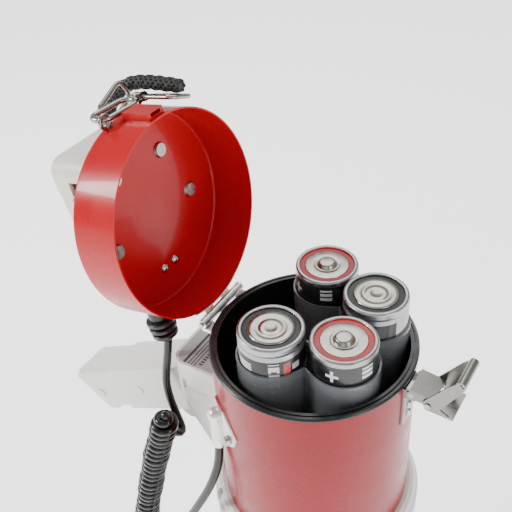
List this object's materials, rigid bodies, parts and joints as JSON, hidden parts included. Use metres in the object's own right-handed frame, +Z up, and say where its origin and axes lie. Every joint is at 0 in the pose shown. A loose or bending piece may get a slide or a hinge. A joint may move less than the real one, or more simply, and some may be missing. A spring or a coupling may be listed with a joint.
{
  "type": "megaphone",
  "caption": "Hand megaphone with its battery lid open: D cells in a round barrel, reflex horn, side grip with trigger, draw latch and a microphone box on a curly cord.",
  "frame": {"origin": "centre of the horn's mouth, in the plane of its guard's edge, on which the part stands", "axes": "+Z up along the barrel's axis, out of the battery opening; -X towards the grip and the lid's hinge; +X towards the latch"},
  "size_m": [0.2955, 0.227, 0.4372],
  "materials": {
    "red_lacquer": "gloss red baked paint",
    "black_trim": "semi gloss moulded black",
    "black_liner": "satin black",
    "smoky_sleeve": "translucent smoky sheet",
    "cell_can": null,
    "spring_steel": "bright nickel",
    "nickel": "satin nickel",
    "white_horn": "satin cream white moulding",
    "white_handle": "semi gloss cream white moulding",
    "grey_panel": "satin grey",
    "grey_trigger": "satin grey",
    "black_rubber": "soft black",
    "magnet_iron": "dark plated",
    "cone_film": "amber phenolic",
    "board": "green lacquer",
    "black_cord": "gloss black jacket",
    "black_braid": "black braid"
  },
  "bodies": {
    "horn_and_barrel": {"horn_flange": "white_horn", "barrel_shell": "red_lacquer", "barrel_screws": "nickel", "barrel_liner": "black_liner", "rim_ring": "black_trim", "battery_floor": "black_liner", "battery_sleeve": "smoky_sleeve", "contact_springs": "spring_steel", "horn_bell": "white_horn", "mouth_guard": "black_rubber", "inner_horn": "white_horn", "reflex_cup": "white_horn", "driver_magnet": "magnet_iron", "driver_diaphragm": "cone_film", "handle_bracket": "white_handle", "bracket_panel": "grey_panel", "grip_left": "white_handle", "grip_right": "white_handle", "grip_screws": "nickel", "trigger_switch": "black_liner", "trigger_spring": "spring_steel", "amplifier_board": "board", "cable_clamp": "nickel", "clamp_screws": "nickel", "latch_base": "nickel", "arm_pin": "nickel", "hinge_leaf_barrel": "nickel", "hinge_pin": "nickel", "barrel_rivets": "nickel", "cord_lead": "black_cord", "cord_curl": "black_cord", "cord_tail": "black_cord"},
    "lid": {"lid_shell": "red_lacquer", "lid_contacts": "nickel", "bridge_straps": "nickel", "lid_screws": "nickel", "hinge_leaf_lid": "nickel", "mic_housing": "white_handle", "mic_cover": "white_handle", "mic_capsule": "black_liner", "strain_relief": "black_rubber", "hook_eyelet": "nickel", "snap_hook": "nickel", "wire_ring": "nickel", "strap_loop": "nickel", "hand_strap": "black_braid"},
    "cells_a": {"cell_a_lower": "cell_can", "cell_a_upper": "cell_can"},
    "cells_b": {"cell_b_lower": "cell_can", "cell_b_upper": "cell_can"},
    "cells_c": {"cell_c_lower": "cell_can", "cell_c_upper": "cell_can"},
    "cells_d": {"cell_d_lower": "cell_can", "cell_d_upper": "cell_can"},
    "latch_arm": {"latch_arm": "nickel", "lever_pin": "nickel"},
    "latch_lever": {"latch_lever": "nickel"},
    "trigger": {"trigger": "grey_trigger"},
    "slide_switch": {"slide_switch": "black_trim"},
    "volume_wheel": {"volume_wheel": "black_trim"}
  },
  "joints": [
    {"name": "lid_hinge", "type": "hinge", "parent": "horn_and_barrel", "child": "lid", "pos_m": [-0.05795, 0, 0.3187], "axis": [0, 1, 0], "range_deg": [0, 101.35]},
    {"name": "cells_a_slide", "type": "slide", "parent": "horn_and_barrel", "child": "cells_a", "axis": [0, 0, -1], "range_m": [-0.06, 0]},
    {"name": "cells_b_slide", "type": "slide", "parent": "horn_and_barrel", "child": "cells_b", "axis": [0, 0, -1], "range_m": [-0.06, 0]},
    {"name": "cells_c_slide", "type": "slide", "parent": "horn_and_barrel", "child": "cells_c", "axis": [0, 0, -1], "range_m": [-0.06, 0]},
    {"name": "cells_d_slide", "type": "slide", "parent": "horn_and_barrel", "child": "cells_d", "axis": [0, 0, -1], "range_m": [-0.06, 0]},
    {"name": "latch_arm_pivot", "type": "hinge", "parent": "horn_and_barrel", "child": "latch_arm", "pos_m": [0.0576, 0, 0.3146], "axis": [0, 1, 0], "range_deg": [-10, 70]},
    {"name": "latch_lever_pivot", "type": "hinge", "parent": "latch_arm", "child": "latch_lever", "pos_m": [0.06694, 0, 0.3135], "axis": [0, 1, 0], "range_deg": [-30, 20]},
    {"name": "trigger_press", "type": "slide", "parent": "horn_and_barrel", "child": "trigger", "axis": [-0.4756, 0, 0.8796], "range_m": [0, 0.004], "stiffness_N_per_m": 600, "springref_m": -0.003, "deforming": ["trigger_spring"]},
    {"name": "switch_slide", "type": "slide", "parent": "lid", "child": "slide_switch", "axis": [-0.1968, 0, 0.9804], "range_m": [0, 0.006]},
    {"name": "wheel_turn", "type": "hinge", "parent": "lid", "child": "volume_wheel", "pos_m": [-0.11378, 0.024, 0.3768], "axis": [-0.9804, 0, -0.1968], "range_deg": [0, 270]}
  ]
}
